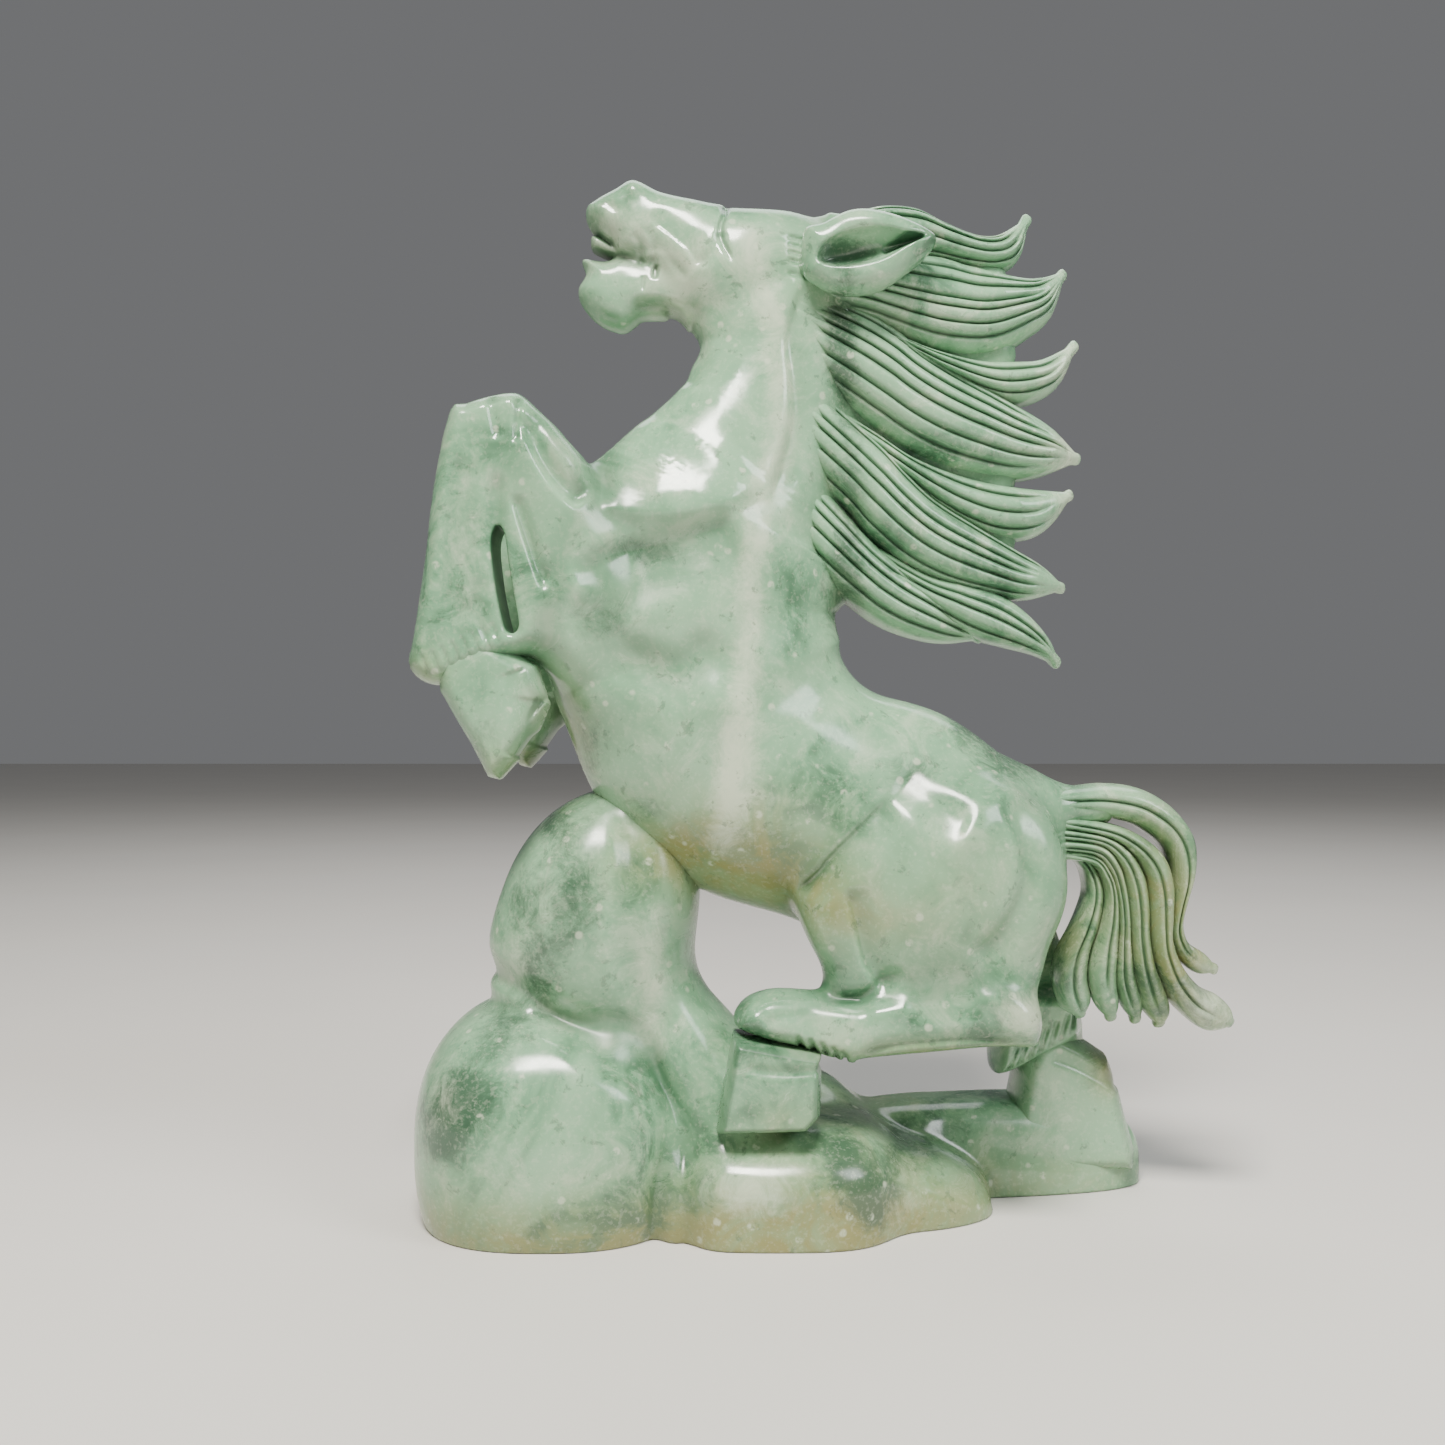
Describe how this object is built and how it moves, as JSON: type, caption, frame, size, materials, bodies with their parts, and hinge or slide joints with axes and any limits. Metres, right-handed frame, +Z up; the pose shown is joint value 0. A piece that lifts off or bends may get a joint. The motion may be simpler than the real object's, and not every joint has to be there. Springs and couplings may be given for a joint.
{
  "type": "carved jade horse figurine",
  "caption": "Polished green jade carving of a rearing horse with a wind-swept mane and tail, standing on a rounded rock base with a flat underside.",
  "frame": {"origin": "on the floor plane, below the middle of the carving's bounding box", "axes": "+Z up, +X towards the horse's tail (it faces -X), -Y towards the horse's left side"},
  "size_m": [0.2119, 0.075, 0.2618],
  "materials": {
    "jade_horse": "polished jade, mottled green and white, glossy and slightly translucent",
    "jade_hooves": "polished jade, mottled green and white, glossy and slightly translucent",
    "jade_mane": "polished jade, mottled green and white, glossy and slightly translucent",
    "jade_tail": "polished jade, mottled green and white, glossy and slightly translucent",
    "jade_rock": "polished jade, mottled green and white, glossy and slightly translucent"
  },
  "bodies": {
    "root": {"torso": "jade_horse", "neck": "jade_horse", "head": "jade_horse", "lower_jaw": "jade_horse", "left_ear": "jade_horse", "right_ear": "jade_horse", "left_forearm": "jade_horse", "right_forearm": "jade_horse", "left_front_cannon": "jade_horse", "right_front_cannon": "jade_horse", "left_thigh": "jade_horse", "right_thigh": "jade_horse", "left_hind_cannon": "jade_horse", "right_hind_cannon": "jade_horse", "left_front_hoof": "jade_hooves", "right_front_hoof": "jade_hooves", "left_hind_hoof": "jade_hooves", "right_hind_hoof": "jade_hooves", "mane_forelock": "jade_mane", "mane_crest_lock": "jade_mane", "mane_upper_lock": "jade_mane", "mane_middle_lock": "jade_mane", "mane_lower_lock": "jade_mane", "mane_crest_wisp": "jade_mane", "mane_middle_wisp": "jade_mane", "mane_lower_wisp": "jade_mane", "tail_root": "jade_tail", "tail_outer_strand": "jade_tail", "tail_main_strand": "jade_tail", "tail_middle_strand": "jade_tail", "tail_inner_strand": "jade_tail", "tail_rump_strand": "jade_tail", "rock_front_boulder": "jade_rock", "rock_upper_boulder": "jade_rock", "rock_pillar": "jade_rock", "rock_front_ledge": "jade_rock", "rock_rear_ledge": "jade_rock", "rock_back_lobe": "jade_rock"}
  },
  "joints": []
}
